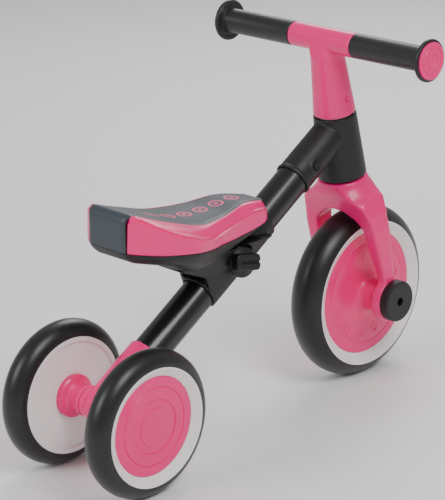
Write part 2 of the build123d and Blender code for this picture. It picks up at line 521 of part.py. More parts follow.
def saddle():
    """Saddle shell, pad strip, base pan, bracket and screws, laid out from the clamp's centre."""
    clamp_x, clamp_z = tube_point(SADDLE_ALONG, 0)
    place = Pos(clamp_x, 0, clamp_z)
    back, nose, half = SADDLE_BACK, SADDLE_NOSE, SADDLE_HALF
    plan = [
        (back, half - 40), (back + 11, half - 25), (back + 29, half - 9), (back + 61, half),
        (back + 93, half - 7),
        (back + 121, half - 19), (back + 161, half - 31), (nose - 17, half - 36), (nose - 4.5, half - 42),
        (nose, half - 53),
    ]
    pad_plan = [
        (back - 2, half - 40.5), (back + 20, half - 35), (back + 60, half - 27), (back + 97, half - 25.5),
        (back + 130, half - 32), (back + 181, half - 44.5), (nose + 1, half - 52),
    ]
    top = [
        (back + 8, 97.1), (back + 51, 82.0), (back + 96, 68.6), (back + 139, 66.0), (back + 181, 68.4),
        (nose, 61.6),
    ]
    under = [(back, 57.6), (back + 54, 52.6), (back + 114, 42.6), (back + 159, 38.6), (nose, 43.6)]
    belly = [
        (back + 5, 46.6), (back + 45, 34.6), (back + 84, 16.0), (back + 122, 18.0), (back + 165, 27.0),
        (nose - 7, 42.0),
    ]
    high = 130.0
    inset = SHELL_WALL

    # Pad strip: runs over the top and wraps down the rear face and the nose.
    skin = [(x, 0, z + 1.0) for x, z in top]
    skin[0], skin[-1] = (top[0][0] - 1, 0, top[0][1] + 1), (nose + 0.6, 0, top[-1][1] + 0.6)
    sole = [(x, 0, z - PAD_THICK) for x, z in top]
    sole[0], sole[-1] = (top[0][0] + PAD_THICK, 0, top[0][1] - PAD_THICK), (nose - 6, 0,
        top[-1][1] - PAD_THICK)
    rear_foot, nose_foot = (back - 1, 0, under[0][1]), (nose + 0.6, 0, top[-1][1] - 13)
    rear_inner, nose_inner = (back + PAD_THICK - 1, 0, under[0][1]), (nose - 6, 0, top[-1][1] - 13)
    edges = [
        Line(rear_foot, skin[0]), Spline(*skin), Polyline(skin[-1], nose_foot, nose_inner, sole[-1]),
            Spline(*sole),
        Polyline(sole[0], rear_inner, rear_foot),
    ]
    band = extrude(make_face(edges), half, dir=(0, 1, 0), both=True)
    pad = extrude(saddle_plan(pad_plan), high) & band

    # Shell: solid sides and roof over a cavity that the pan closes.
    outer = extrude(saddle_plan(plan), high) & side_slab(under, top)
    roof = side_slab([(x, z - 80) for x, z in under], top, rise_high=-PAD_THICK - inset)
    cavity = extrude(saddle_plan(plan, inset), high) & roof
    cavity -= Pos(back + PAD_THICK + inset - 50, 0, 0) * Box(100, 2 * half, 2 * high)
    cavity -= Pos(nose - PAD_THICK - inset + 50, 0, 0) * Box(100, 2 * half, 2 * high)
    shell = outer - cavity - pad

    # Pan: a dished tray plugged into the shell's mouth, narrowing towards the bracket.
    plug = extrude(saddle_plan(plan, inset), high)
    mouth, throat = 57, 16
    sides = [
        (0, -half + 4, high), (0, half - 4, high), (0, half - 4, mouth), (0, BRACKET_R + 2, throat),
        (0, -BRACKET_R - 2, throat), (0, -half + 4, mouth),
    ]
    funnel = extrude(make_face(Polyline(*sides, close=True)), 400, dir=(1, 0, 0), both=True)
    tray_block = (plug & side_slab(belly, under, rise_high=6) & funnel) - shell - pad
    hollow = extrude(saddle_plan(plan, inset + PAN_WALL), high) & side_slab(
        belly, under, rise_low=PAN_WALL, rise_high=7) & Pos(0, 0, PAN_WALL) * funnel
    tray = tray_block - hollow

    # Bracket: sleeve round the tube under a block that meets the pan, with the clamp's boss on the right.
    rear, front = BRACKET_REAR, BRACKET_FRONT
    block = slab([
        rail_point(rear, 0), rail_point(front, 0), rail_point(front - 2, 9), (nose - 4, 46), (back + 165, 34),
        (back + 122, 26), (back + 78, 26), (back + 80, 16.0), rail_point(rear + 5, 25),
    ], BRACKET_FLARE)
    flare = [
        (0, BRACKET_R, -60), (0, BRACKET_R, 0), (0, BRACKET_FLARE, throat + 10),
        (0, -BRACKET_FLARE, throat + 10),
        (0, -BRACKET_R, 0), (0, -BRACKET_R, -60),
    ]
    block &= extrude(make_face(Polyline(*flare, close=True)), 400, dir=(1, 0, 0), both=True)
    arch_half = TUBE_R - 3
    arch = RAIL * Pos(20, 0, rear + 6) * Box(30, 2 * arch_half, 26)
    sleeve = RAIL * rod(BRACKET_R, rear, front)
    boss = side_plane(RAIL, 0, KNOB_TILT) * rod(CLAMP_BOSS_R, BRACKET_R / 2, CLAMP_BOSS_OUT)
    knob_room = side_plane(RAIL, 0, KNOB_TILT) * rod(KNOB_R + KNOB_ROOM, CLAMP_BOSS_OUT, 3 * CLAMP_BOSS_OUT)
    bracket = block - arch + sleeve - tray_block - shell - pad - knob_room + boss
    bracket -= RAIL * rod(BRACKET_BORE_R, rear - 1, front + 1)
    channel = RAIL * rod(BRACKET_R, rear - 20, front + 20)
    shell -= channel
    pad -= channel
    tray -= channel
    clamp_at = side_plane(RAIL, 0, KNOB_TILT)
    bracket -= clamp_at * rod(SCREW_R + SLIDING, 0, CLAMP_BOSS_OUT + 1)
    bracket -= clamp_at * rod(INSERT_R, INSERT_IN, CLAMP_BOSS_OUT)
    insert = clamp_at * pipe(INSERT_R, SCREW_R + RUNNING, INSERT_IN, CLAMP_BOSS_OUT - 0.2)

    # Screws: four down through the pan into the bracket, four up through the pan into the shell's posts.
    bracket_screws, pan_screws = [], []
    for x, seat_z in ((back + 110, 31.0), (back + 150, 38.0)):
        for y in (-12, 12):
            tower = (rod(6.5, 0, seat_z, x, y) & tray_block) - channel
            shank = rod(2.5, seat_z - 20, seat_z, x, y)
            tray = tray + tower - shank
            bracket -= shank
            bracket_screws.append(shank + rod(4.5, seat_z, seat_z + 2.5, x, y))
    for x, y, seat_z in ((back + 40, 34, 41.0), (back + 176, 22, 41.5)):
        for side in (-1, 1):
            post = rod(5.5, seat_z + 3, high, x, side * y) & cavity
            tower = rod(5.5, 0, seat_z + 3, x, side * y) & tray_block
            shank = rod(2.0, seat_z, seat_z + 16, x, side * y)
            tray = tray + tower - shank - rod(4.2, 0, seat_z, x, side * y)
            shell = shell + post - shank
            pan_screws.append(shank + rod(4.0, seat_z - 2.2, seat_z, x, side * y))
    pieces = {
        "saddle_shell": shell, "saddle_pad": pad, "saddle_pan": tray, "saddle_bracket": bracket,
        "clamp_insert": insert, "saddle_bracket_screws": Compound(children=bracket_screws),
        "saddle_pan_screws": Compound(children=pan_screws),
    }
    return {name: place * piece for name, piece in pieces.items()}


def clamp():
    """Clamp knob, its screw and the captive pad that presses on the main tube."""
    at = side_plane(TUBE, SADDLE_ALONG, KNOB_TILT)
    pad = at * rod(SCREW_R, TUBE_R + 0.15, INSERT_IN - 0.3)
    start = CLAMP_BOSS_OUT + 0.6
    screw = at * rod(SCREW_R, INSERT_IN - 0.2, start + 8)
    skirt = turned(
        (0, start), (KNOB_R, start), (KNOB_R, start + 3.0), (KNOB_R - 1.2, start + 4.2),
        (KNOB_R - 6, start + 6.5),
        (0, start + 7.5),
    )
    grip = Box(GRIP_BAR, GRIP_BAR_WIDE, GRIP_BAR_DEEP, align=LOW_AXIS)
    grip = fillet(grip.edges().filter_by(Axis.Z), 5.0)
    grip = fillet(grip.faces().sort_by(Axis.Z)[-1].edges(), 2.0)
    groove = Pos(5, 0, GRIP_BAR_DEEP - 2.5) * Box(GRIP_BAR, 3.0, 6, align=LOW_AXIS)
    bar = Rot(0, 0, GRIP_BAR_TURN) * Pos(0, 0, start + 4) * (grip - groove)
    return {"clamp_pad": pad, "clamp_screw": screw, "clamp_knob": at * (skirt + bar) - screw}


def snap_pin(pin_r, flange_r, inside, face):
    """Button on local Z: a pin through the wall and a flange held inside a tube of radius inside."""
    flange_top = (inside**2 - flange_r**2) ** 0.5 - GAP
    return rod(pin_r, flange_top - 1.0, face) + rod(flange_r, flange_top - 1.2, flange_top), flange_top - 1.2


def buttons():
    """Snap buttons of the frame joint and the stem, with the V springs behind them."""
    frame_at = side_plane(TUBE, BUTTON_ALONG, BUTTON_TILT)
    stem_at = Location(STEER) * Pos(0, 0, STEM_BUTTON_ALONG) * Location(
        Plane(origin=(0, 0, 0), x_dir=(0, 0, 1), z_dir=(0, -1, 0)))
    frame_inside = TUBE_R - TUBE_WALL
    frame_pin, frame_seat = snap_pin(BUTTON_R, BUTTON_R + 2, frame_inside, SLEEVE_R + 2.0)
    stem_inside = STEERER_R - STEERER_WALL
    stem_pin, stem_seat = snap_pin(STEM_BUTTON_R, STEM_BUTTON_R + 1.4, stem_inside, STEM_LOW_R - 1.1)
    return {
        "frame_button": frame_at * frame_pin,
        "frame_button_spring": frame_at * v_spring(frame_seat, frame_inside, 26, 8),
        "stem_button": stem_at * stem_pin,
        "stem_button_spring": stem_at * v_spring(stem_seat, stem_inside, 20, 5),
    }


def v_spring(near, inside, length, width):
    """Bent steel strip: near arm under the button, bend up the tube, far arm on the opposite wall."""
    thick = 0.8
    far = (inside**2 - (width / 2) ** 2) ** 0.5
    outline = [
        (-6, near), (7, near), (length, 1.0), (length, -1.0), (-8, -far), (-8, -far + thick), (length - 4, 0),
        (6, near - thick), (-6, near - thick),
    ]
    strip = make_face(Polyline(*[(along, 0, out) for along, out in outline], close=True))
    return extrude(strip, width / 2, dir=(0, 1, 0), both=True)


def build():
    """All nodes by name."""
    nodes = {}
    nodes.update(main_frame())
    nodes.update(rear_axle())
    for side, name in ((1, "left"), (-1, "right")):
        nodes.update({f"rear_{piece}_{name}": shape for piece, shape in rear_wheel(side).items()})
    nodes.update(front_wheel())
    nodes.update(front_axle())
    nodes["fork"] = fork()
    nodes.update(stem_and_bar())
    nodes.update(saddle())
    nodes.update(clamp())
    nodes.update(buttons())
    return nodes


if __name__ == "__main__":
    os.makedirs("parts", exist_ok=True)
    for node, shape in build().items():
        export_step(shape, f"parts/{node}.step")
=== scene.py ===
"""Looks of a toddler tricycle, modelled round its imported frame.

Lengths in the dataclasses are millimetres unless a name says otherwise. Blender works in metres.
"""

from __future__ import annotations

import json
import logging
import math
from dataclasses import dataclass, field
from enum import Enum
from typing import Sequence

import bmesh
import bpy
from mathutils import Matrix, Vector

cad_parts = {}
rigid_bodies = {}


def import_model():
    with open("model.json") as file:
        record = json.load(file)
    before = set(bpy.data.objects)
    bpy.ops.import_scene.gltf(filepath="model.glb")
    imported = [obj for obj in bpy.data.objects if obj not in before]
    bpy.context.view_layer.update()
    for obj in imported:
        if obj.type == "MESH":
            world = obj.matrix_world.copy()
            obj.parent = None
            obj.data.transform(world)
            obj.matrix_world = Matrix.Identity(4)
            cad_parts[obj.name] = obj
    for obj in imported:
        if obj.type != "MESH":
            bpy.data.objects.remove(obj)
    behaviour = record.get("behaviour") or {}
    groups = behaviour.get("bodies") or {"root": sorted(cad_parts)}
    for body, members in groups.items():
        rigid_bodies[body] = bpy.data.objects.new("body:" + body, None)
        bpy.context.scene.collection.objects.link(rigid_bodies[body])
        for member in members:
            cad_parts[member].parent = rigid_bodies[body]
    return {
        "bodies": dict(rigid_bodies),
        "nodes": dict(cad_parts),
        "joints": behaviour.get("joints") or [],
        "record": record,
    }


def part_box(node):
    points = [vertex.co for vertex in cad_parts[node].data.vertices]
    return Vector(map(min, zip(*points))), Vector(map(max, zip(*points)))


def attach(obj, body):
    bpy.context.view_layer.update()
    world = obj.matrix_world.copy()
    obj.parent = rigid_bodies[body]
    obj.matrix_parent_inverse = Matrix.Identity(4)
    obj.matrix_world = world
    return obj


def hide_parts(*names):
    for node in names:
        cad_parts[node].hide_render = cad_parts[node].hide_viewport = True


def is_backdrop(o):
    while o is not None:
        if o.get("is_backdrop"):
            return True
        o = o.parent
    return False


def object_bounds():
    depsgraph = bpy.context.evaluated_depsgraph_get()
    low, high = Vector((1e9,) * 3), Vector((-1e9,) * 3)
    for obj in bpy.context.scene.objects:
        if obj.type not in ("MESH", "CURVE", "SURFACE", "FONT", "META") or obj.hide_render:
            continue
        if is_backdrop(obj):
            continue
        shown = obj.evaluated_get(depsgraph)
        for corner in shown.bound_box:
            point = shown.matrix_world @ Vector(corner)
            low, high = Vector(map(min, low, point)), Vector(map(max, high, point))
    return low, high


LOG = logging.getLogger("tricycle")
MM = 0.001
# Millimetres; a height that no surface of the saddle reaches.
FAR_BELOW = -1000.0
Points = list[Vector]
Outline = tuple[tuple[float, float], ...]


class Side(Enum):
    """Left or right of the rider, as a sign along Y."""

    LEFT = 1
    RIGHT = -1

    @property
    def word(self) -> str:
        """The side's name in lower case."""
        return self.name.lower()


class End(Enum):
    """How a stack of rings is closed at one end."""

    POLE = "merged to a point"
    FACE = "one flat face"
    JOINED = "already meets itself"


# ---- Small tools ----


def linear(hex_colour: str) -> tuple[float, float, float, float]:
    """Turn an sRGB hex colour to linear.

    Args:
        hex_colour: Six hex digits after a hash.

    Returns:
        Linear red, green, blue and an alpha of one.
    """
    parts = [int(hex_colour[i : i + 2], 16) / 255 for i in (1, 3, 5)]
    lit = [c / 12.92 if c <= 0.04045 else ((c + 0.055) / 1.055) ** 2.4 for c in parts]
    return (lit[0], lit[1], lit[2], 1.0)


def deselect() -> None:
    """Deselect every object and leave edit mode."""
    if bpy.context.object and bpy.context.object.mode != "OBJECT":
        bpy.ops.object.mode_set(mode="OBJECT")
    bpy.ops.object.select_all(action="DESELECT")


def pick(piece: bpy.types.Object) -> None:
    """Make one object the only selected and active one."""
    deselect()
    piece.select_set(True)
    bpy.context.view_layer.objects.active = piece


def smooth_shading(piece: bpy.types.Object, degrees: float = 38.0) -> None:
    """Shade smooth, with edges sharper than an angle left crisp."""
    pick(piece)
    bpy.ops.object.shade_smooth_by_angle(angle=math.radians(degrees))


def apply_modifier(piece: bpy.types.Object, kind: str, **settings: object) -> None:
    """Add a modifier, set it and apply it.

    Args:
        piece: The object that gets it.
        kind: Blender's name for the modifier.
        settings: Its values by name.
    """
    pick(piece)
    modifier = piece.modifiers.new(kind.lower(), kind)
    for name, value in settings.items():
        setattr(modifier, name, value)
    bpy.ops.object.modifier_apply(modifier=modifier.name)


def recalculate_normals(piece: bpy.types.Object) -> None:
    """Point every face of a closed piece outwards."""
    pick(piece)
    bpy.ops.object.mode_set(mode="EDIT")
    bpy.ops.mesh.select_all(action="SELECT")
    bpy.ops.mesh.remove_doubles(threshold=1e-6)
    bpy.ops.mesh.normals_make_consistent(inside=False)
    bpy.ops.object.mode_set(mode="OBJECT")


def ring_stack(name: str, rings: Sequence[Points], start: End, end: End) -> bpy.types.Object:
    """Extrude a circle ring by ring into a closed skin.

    Args:
        name: The new object's name.
        rings: Equal-length rings of points, in order.
        start: How the first ring is closed.
        end: How the last ring is closed.

    Returns:
        The closed object.
    """
    deselect()
    bpy.ops.mesh.primitive_circle_add(vertices=len(rings[0]), radius=0.01)
    piece = bpy.context.object
    piece.name = name
    piece.data.name = name
    bpy.ops.object.mode_set(mode="EDIT")
    bpy.ops.mesh.select_all(action="SELECT")
    shape = bmesh.from_edit_mesh(piece.data)
    place = shape.verts.layers.int.new("place")
    turn = shape.verts.layers.int.new("turn")
    for index, vertex in enumerate(shape.verts):
        vertex[place] = index
        vertex[turn] = 0
        vertex.co = rings[0][index]
    bmesh.update_edit_mesh(piece.data)
    for number, ring in enumerate(rings[1:], 1):
        bpy.ops.mesh.extrude_edges_move()
        shape = bmesh.from_edit_mesh(piece.data)
        place = shape.verts.layers.int["place"]
        turn = shape.verts.layers.int["turn"]
        for vertex in shape.verts:
            if vertex.select:
                vertex.co = ring[vertex[place]]
                vertex[turn] = number
        bmesh.update_edit_mesh(piece.data)
    for number, closing in ((len(rings) - 1, end), (0, start)):
        if closing is End.JOINED:
            continue
        shape = bmesh.from_edit_mesh(piece.data)
        turn = shape.verts.layers.int["turn"]
        for vertex in shape.verts:
            vertex.select = vertex[turn] == number
        shape.select_flush(True)
        bmesh.update_edit_mesh(piece.data)
        if closing is End.POLE:
            bpy.ops.mesh.merge(type="CENTER")
        else:
            bpy.ops.mesh.edge_face_add()
    bpy.ops.object.mode_set(mode="OBJECT")
    recalculate_normals(piece)
    return piece


def lathe(
    name: str, outline: Outline, centre: Vector, axis: Vector, steps: int = 96
) -> bpy.types.Object:
    """Turn an outline of (radius, offset) in millimetres about an axis.

    Args:
        name: The new object's name.
        outline: From one pole to the other, or a closed loop that ends where it starts.
        centre: A point on the axis that offsets are counted from, in metres.
        axis: The axis, along which offsets grow.
        steps: Faces round the turn.

    Returns:
        The turned object, closed at both ends.
    """
    across = axis.orthogonal().normalized()
    other = axis.cross(across).normalized()
    turns = [2 * math.pi * i / steps for i in range(steps)]
    rings = []
    for radius, offset in outline:
        middle = centre + axis * offset * MM
        rings.append(
            [middle + (across * math.cos(a) + other * math.sin(a)) * radius * MM for a in turns]
        )
    if outline[0] == outline[-1]:
        return ring_stack(name, rings, End.JOINED, End.JOINED)
    return ring_stack(name, rings, End.POLE, End.POLE)


def curve_at(points: Outline, at: float) -> float:
    """Read a smooth curve through points at one place.

    Args:
        points: (place, value) pairs in rising order.
        at: Where to read it; outside the points the end value holds.

    Returns:
        The value there.
    """
    if at <= points[0][0]:
        return points[0][1]
    if at >= points[-1][0]:
        return points[-1][1]
    index = next(i for i in range(len(points) - 1) if points[i + 1][0] >= at)
    before, (x0, y0), (x1, y1) = points[max(index - 1, 0)], points[index], points[index + 1]
    after = points[min(index + 2, len(points) - 1)]
    span = x1 - x0
    start_slope = (y1 - before[1]) / max(x1 - before[0], 1e-9) * span
    end_slope = (after[1] - y0) / max(after[0] - x0, 1e-9) * span
    t = (at - x0) / span
    return (
        (2 * t**3 - 3 * t**2 + 1) * y0
        + (t**3 - 2 * t**2 + t) * start_slope
        + (3 * t**2 - 2 * t**3) * y1
        + (t**3 - t**2) * end_slope
    )


# ---- Finishes ----


def add_node(
    tree: bpy.types.NodeTree,
    kind: str,
    values: dict[str | int, object] | None = None,
    links: dict[str | int, bpy.types.NodeSocket] | None = None,
    **settings: object,
) -> bpy.types.Node:
    """Add one shader node.

    Args:
        tree: The material's node tree.
        kind: Blender's name for the node.
        values: Input values, by input name or number.
        links: Sockets to link into inputs, by input name or number.
        settings: The node's own settings.

    Returns:
        The new node.
    """
    made = tree.nodes.new(kind)
    for name, value in settings.items():
        setattr(made, name, value)
    for key, value in (values or {}).items():
        made.inputs[key].default_value = value
    for key, socket in (links or {}).items():
        tree.links.new(socket, made.inputs[key])
    return made


@dataclass(frozen=True)
class Finish:
    """A surface: its colours, gloss, and a grain whose size is in millimetres."""

    name: str
    colour: str
    shade: str
    roughness: float
    roughness_swing: float = 0.05
    grain: float = 0.8
    grain_depth: float = 0.02
    ripple: float = 22.0
    ripple_depth: float = 0.05
    metallic: float = 0.0
    ior: float = 1.5
    sheen: float = 0.0
    coat: float = 0.0
    subsurface: float = 0.0

    def colours(
        self, tree: bpy.types.NodeTree, where: bpy.types.NodeSocket
    ) -> bpy.types.NodeSocket:
        """Mix the two colours by broad cloudiness.

        Args:
            tree: The material's node tree.
            where: Object coordinates.

        Returns:
            The colour socket.
        """
        cloud = add_node(
            tree, "ShaderNodeTexNoise", {"Scale": 1 / (35 * MM), "Detail": 3.0}, {"Vector": where}
        )
        mix = add_node(tree, "ShaderNodeMix", None, {0: cloud.outputs["Fac"]}, data_type="RGBA")
        mix.inputs[6].default_value = linear(self.colour)
        mix.inputs[7].default_value = linear(self.shade)
        return mix.outputs[2]

    def make(self) -> bpy.types.Material:
        """Build the material.

        Returns:
            The node-based material.
        """
        material = bpy.data.materials.new(self.name)
        material.use_nodes = True
        tree = material.node_tree
        surface = tree.nodes["Principled BSDF"]
        where = add_node(tree, "ShaderNodeTexCoord").outputs["Object"]
        tree.links.new(self.colours(tree, where), surface.inputs["Base Color"])
        patch = add_node(
            tree, "ShaderNodeTexNoise", {"Scale": 1 / (9 * MM), "Detail": 4.0}, {"Vector": where}
        )
        gloss = add_node(
            tree,
            "ShaderNodeMapRange",
            {
                "To Min": self.roughness - self.roughness_swing,
                "To Max": self.roughness + self.roughness_swing
            },
            {"Value": patch.outputs["Fac"]},
        )
        tree.links.new(gloss.outputs["Result"], surface.inputs["Roughness"])
        fine = add_node(
            tree, "ShaderNodeTexNoise", {"Scale": 1 / (self.grain * MM), "Detail": 2.0},
            {"Vector": where}
        )
        broad = add_node(
            tree, "ShaderNodeTexNoise", {"Scale": 1 / (self.ripple * MM), "Detail": 1.0},
            {"Vector": where}
        )
        low = add_node(
            tree,
            "ShaderNodeBump",
            {"Strength": 0.6, "Distance": self.ripple_depth * MM},
            {"Height": broad.outputs["Fac"]},
        )
        high = add_node(
            tree,
            "ShaderNodeBump",
            {"Strength": 0.6, "Distance": self.grain_depth * MM},
            {"Height": fine.outputs["Fac"], "Normal": low.outputs["Normal"]},
        )
        tree.links.new(high.outputs["Normal"], surface.inputs["Normal"])
        for socket, value in (
            ("Metallic", self.metallic),
            ("IOR", self.ior),
            ("Sheen Weight", self.sheen),
            ("Coat Weight", self.coat),
            ("Subsurface Weight", self.subsurface),
        ):
            surface.inputs[socket].default_value = value
        if self.subsurface:
            surface.inputs["Subsurface Scale"].default_value = 1.5 * MM
        return material


@dataclass(frozen=True)
class PrintedSkin(Finish):
    """Soft saddle skin with a row of printed rings down its middle, in metres along X."""

    ink: str = "#F0407F"
    row_start: float = -0.150
    row_end: float = -0.006
    pitch: float = 0.024
    ring: float = 0.0074
    line: float = 0.0013
    above: float = 0.250

    def colours(
        self, tree: bpy.types.NodeTree, where: bpy.types.NodeSocket
    ) -> bpy.types.NodeSocket:
        """Lay the printed rings over the skin's own colours.

        Args:
            tree: The material's node tree.
            where: Object coordinates.

        Returns:
            The colour socket.
        """
        skin = Finish.colours(self, tree, where)
        axes = add_node(tree, "ShaderNodeSeparateXYZ", None, {0: where}).outputs

        def maths(operation: str, first: object, second: object = 0.0) -> bpy.types.NodeSocket:
            """One maths step on sockets or numbers."""
            inputs = {0: first, 1: second}
            links = {k: v for k, v in inputs.items() if isinstance(v, bpy.types.NodeSocket)}
            values = {k: v for k, v in inputs.items() if k not in links}
            return add_node(tree, "ShaderNodeMath", values, links, operation=operation).outputs[0]

        along = maths("SUBTRACT", axes[0], self.row_start)
        step = maths("SUBTRACT", maths("FLOORED_MODULO", along, self.pitch), self.pitch / 2)
        distance = maths(
            "SQRT", maths("ADD", maths("MULTIPLY", step, step), maths("MULTIPLY", axes[1], axes[1]))
        )
        ring = maths(
            "LESS_THAN", maths("ABSOLUTE", maths("SUBTRACT", distance, self.ring)), self.line
        )
        dot = maths("LESS_THAN", distance, self.ring * 0.35)
        shown = maths("MAXIMUM", ring, dot)
        for low, high in (
            (axes[0], self.row_end), (self.above, axes[2]), (self.row_start, axes[0])
        ):
            shown = maths("MULTIPLY", shown, maths("LESS_THAN", low, high))
        mix = add_node(tree, "ShaderNodeMix", None, {0: shown, 6: skin}, data_type="RGBA")
        mix.inputs[7].default_value = linear(self.ink)
        return mix.outputs[2]


# Polypropylene, injection moulded in polished steel: even colour, soft wide highlights.
PINK = Finish("moulded_pink_polypropylene", "#FB0A7E", "#F20472", 0.34, coat=0.15)
# The same resin in white.
WHITE = Finish(
    "moulded_white_polypropylene", "#F4F3F2", "#ECEAEA", 0.34, coat=0.05, subsurface=0.05
)
# Glass-filled nylon from a spark-eroded tool: dull, with a fine even grain.
BLACK = Finish(
    "spark_textured_black_nylon", "#131416", "#0F1011", 0.48, grain=0.7, grain_depth=0.05
)
# Steel tube in satin powder coat: smooth, with faint orange peel.
COAT = Finish(
    "satin_powder_coat", "#121315", "#0F1012", 0.3, grain=1.4, grain_depth=0.03, coat=0.15
)
# Closed-cell EVA foam with a moulded skin: satin, with a slow wave.
FOAM = Finish(
    "skinned_eva_foam", "#121314", "#0E0F10", 0.36, grain=1.0, grain_depth=0.04, sheen=0.08
)
# Thermoplastic rubber, moulded: dry and slightly grippy.
RUBBER = Finish(
    "moulded_tpr_grip", "#131416", "#0F1012", 0.42, grain=0.6, grain_depth=0.05, sheen=0.1
)
# Soft-touch rubber skin over the saddle: fine leathery grain.
SKIN = PrintedSkin(
    "soft_touch_saddle_skin", "#3A4249", "#333B42", 0.42, grain=1.1, grain_depth=0.06
)
# Zinc-plated steel.
ZINC = Finish("zinc_plated_steel", "#B9BDC0", "#A9ADB1", 0.3, metallic=1.0, grain=0.5)
# Turned brass.
BRASS = Finish("turned_brass", "#C9A25A", "#BB9450", 0.28, metallic=1.0, grain=0.5)
# Natural nylon.
NYLON = Finish("natural_nylon", "#DDDAD0", "#D3D0C6", 0.4, subsurface=0.1)

FINISH_OF_SLOT: dict[str, Finish] = {
    "painted_tube": COAT,
    "black_plastic": BLACK,
    "pink_plastic": PINK,
    "white_plastic": WHITE,
    "foam_tyre": FOAM,
    "grip_rubber": RUBBER,
    "saddle_skin": SKIN,
    "steel": ZINC,
    "brass": BRASS,
    "nylon": NYLON,
}


# ---- The frame that everything is fitted to ----


@dataclass
class Frame:
    """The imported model, with what each node rides on and is made of."""

    loaded: dict
    materials: dict[str, bpy.types.Material] = field(default_factory=dict)
    body_of: dict[str, str] = field(default_factory=dict)
    slot_of: dict[str, str] = field(default_factory=dict)

    def __post_init__(self) -> None:
        """Read bodies and slots from the record and make the finishes."""
        record = self.loaded["record"]
        for body, nodes in record["behaviour"]["bodies"].items():
            for node in nodes:
                self.body_of[node] = body
        self.slot_of = {part["node"]: part["material_slot"] for part in record["subparts"]}
        self.materials = {slot: finish.make() for slot, finish in FINISH_OF_SLOT.items()}

    def joint_place(self, name: str) -> Vector:
        """The point on a hinge's axis."""
        joint = next(j for j in self.loaded["joints"] if j["name"] == name)
        return Vector(joint["pos_m"])

    def dress_nodes(self) -> None:
        """Give every carried-over node its own finish."""
        for name, node in self.loaded["nodes"].items():
            finish = self.materials[self.slot_of[name]]
            if not node.material_slots:
                node.data.materials.append(finish)
            for slot in node.material_slots:
                slot.material = finish

    def stand_in(self, piece: bpy.types.Object, node: str) -> bpy.types.Object:
        """Let a new piece take a node's place, body and finish.

        Args:
            piece: The finished piece.
            node: The node that it stands for.

        Returns:
            The piece.
        """
        piece.data.materials.clear()
        piece.data.materials.append(self.materials[self.slot_of[node]])
        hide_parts(node)
        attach(piece, self.body_of[node])
        LOG.info("%s stands for %s: %d faces", piece.name, node, len(piece.data.polygons))
        return piece


# ---- Castings and mouldings whose edges are rounded ----


@dataclass(frozen=True)
class Rounded:
    """A moulding taken from its node and rounded: voxel in millimetres, and smoothing passes."""

    node: str
    voxel: float
    passes: int

    def build(self, frame: Frame) -> bpy.types.Object:
        """Copy the node, merge it, remesh it finely and ease its edges.

        Args:
            frame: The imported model.

        Returns:
            The rounded moulding.
        """
        source = frame.loaded["nodes"][self.node]
        piece = bpy.data.objects.new(f"{self.node}_moulding", source.data.copy())
        bpy.context.scene.collection.objects.link(piece)
        pick(piece)
        bpy.ops.object.mode_set(mode="EDIT")
        bpy.ops.mesh.select_all(action="SELECT")
        bpy.ops.mesh.remove_doubles(threshold=1e-6)
        bpy.ops.object.mode_set(mode="OBJECT")
        apply_modifier(piece, "REMESH", mode="VOXEL", voxel_size=self.voxel * MM)
        apply_modifier(piece, "SMOOTH", factor=0.5, iterations=self.passes)
        smooth_shading(piece, 60.0)
        return frame.stand_in(piece, self.node)


MOULDINGS = (
    Rounded("fork", 1.5, 16),
    Rounded("stem", 1.2, 4),
    Rounded("head_tube", 1.0, 4),
    Rounded("rear_axle_carrier", 1.2, 5),
    Rounded("saddle_bracket", 1.1, 4),
    Rounded("clamp_knob", 0.6, 4),
)


# ---- Wheels ----


@dataclass
class RearCover:
    """Outer cover of a rear wheel: a shallow dome with steps, and a notch for prising it off."""

    side: Side
    radius: float = 53.8
    face: float = 11.2
    wall: float = 2.4
    notch_angle: float = 140.0
    notch_half: float = 9.0
    notch_depth: float = 1.8

    def outline(self) -> Outline:
        """Outline from the back pole round the rim to the front pole."""
        r, f = self.radius, self.face
        back = f - self.wall
        return (
            (0.1, back), (r, back), (r, f - 0.5), (r - 0.5, f), (0.93 * r, f + 0.3),
            (0.82 * r, f + 1.0), (0.805 * r, f + 0.9), (0.797 * r, f + 0.1), (0.782 * r, f + 0.1),
            (0.77 * r, f + 1.0), (0.57 * r, f + 1.9), (0.556 * r, f + 1.8), (0.55 * r, f + 1.0),
            (0.532 * r, f + 1.0),
            (0.52 * r, f + 1.5), (0.40 * r, f + 1.8), (0.39 * r, f + 1.9), (0.382 * r, f + 2.7),
            (0.37 * r, f + 2.9), (0.2 * r, f + 3.1), (0.1, f + 3.2),
        )

    def build(self, frame: Frame) -> bpy.types.Object:
        """Turn the cover and sink its notch.

        Args:
            frame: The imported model.

        Returns:
            The cover.
        """
        word = self.side.word
        centre = frame.joint_place(f"rear_{word}_spin")
        axis = Vector((0, self.side.value, 0))
        piece = lathe(f"rear_cover_{word}_moulding", self.outline(), centre, axis, 120)
        middle = Vector(
            (math.cos(math.radians(self.notch_angle)), 0, math.sin(math.radians(self.notch_angle)))
        )
        for vertex in piece.data.vertices:
            out = vertex.co - centre
            reach = Vector((out.x, 0, out.z))
            outer = reach.length > 0.9 * self.radius * MM
            front = out.dot(axis) > (self.face - 1) * MM
            if outer and front and math.degrees(reach.angle(middle)) < self.notch_half:
                vertex.co -= axis * self.notch_depth * MM
        smooth_shading(piece, 25.0)
        return frame.stand_in(piece, f"rear_cover_{word}")


